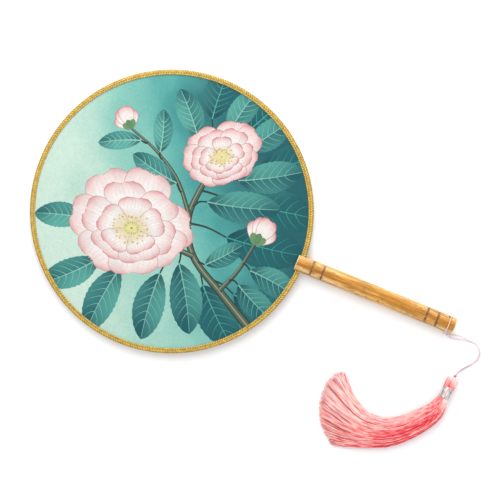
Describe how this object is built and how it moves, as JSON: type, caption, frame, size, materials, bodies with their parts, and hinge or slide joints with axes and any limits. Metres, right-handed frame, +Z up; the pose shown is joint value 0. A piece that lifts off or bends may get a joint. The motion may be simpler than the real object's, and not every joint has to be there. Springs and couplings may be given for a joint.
{
  "type": "round hand fan",
  "caption": "Round silk hand fan on a bent hoop with a braided gold edge, a turned bamboo handle and a thread tassel hanging from a cord loop.",
  "frame": {"origin": "centre of the fan's footprint without the cord and tassel, on the surface that the handle lies on", "axes": "+X along the handle from the round face to the handle's free end, +Z up out of the printed front face, +Y to the side away from the tassel"},
  "size_m": [0.4087, 0.252, 0.0152],
  "materials": {
    "hoop_bamboo": "split bamboo, plain",
    "printed_silk": "fine plain-weave silk, printed",
    "gold_braid": "gold-yellow woven braid",
    "handle_bamboo": "turned bamboo, satin varnish",
    "pink_cord": "thin twisted cord",
    "knot_cord": "tight knot of cord",
    "tassel_thread": "glossy rayon thread",
    "silver_ribbon": "metallic silver ribbon"
  },
  "bodies": {
    "fan": {"hoop": "hoop_bamboo", "front_silk": "printed_silk", "back_silk": "printed_silk", "edge_braid": "gold_braid", "handle": "handle_bamboo", "cord_loop": "pink_cord"},
    "cord": {"cord_pair": "pink_cord"},
    "knot": {"cord_knot": "knot_cord"},
    "tassel": {"tassel_head": "tassel_thread", "neck_collar": "silver_ribbon", "tassel_skirt": "tassel_thread"}
  },
  "joints": [
    {"name": "cord_swing", "type": "hinge", "parent": "fan", "child": "cord", "pos_m": [0.20585, -0.0069, 0.00105], "axis": [0, 0, 1], "range_deg": [-22, 80]},
    {"name": "tassel_swing", "type": "hinge", "parent": "cord", "child": "knot", "pos_m": [0.20585, -0.0389, 0.00545], "axis": [0, 0, 1], "range_deg": [-10, 60]},
    {"name": "tassel_lift", "type": "hinge", "parent": "knot", "child": "tassel", "pos_m": [0.20585, -0.0389, 0.00545], "axis": [-0.9925, 0.1219, 0], "range_deg": [0, 60]}
  ]
}
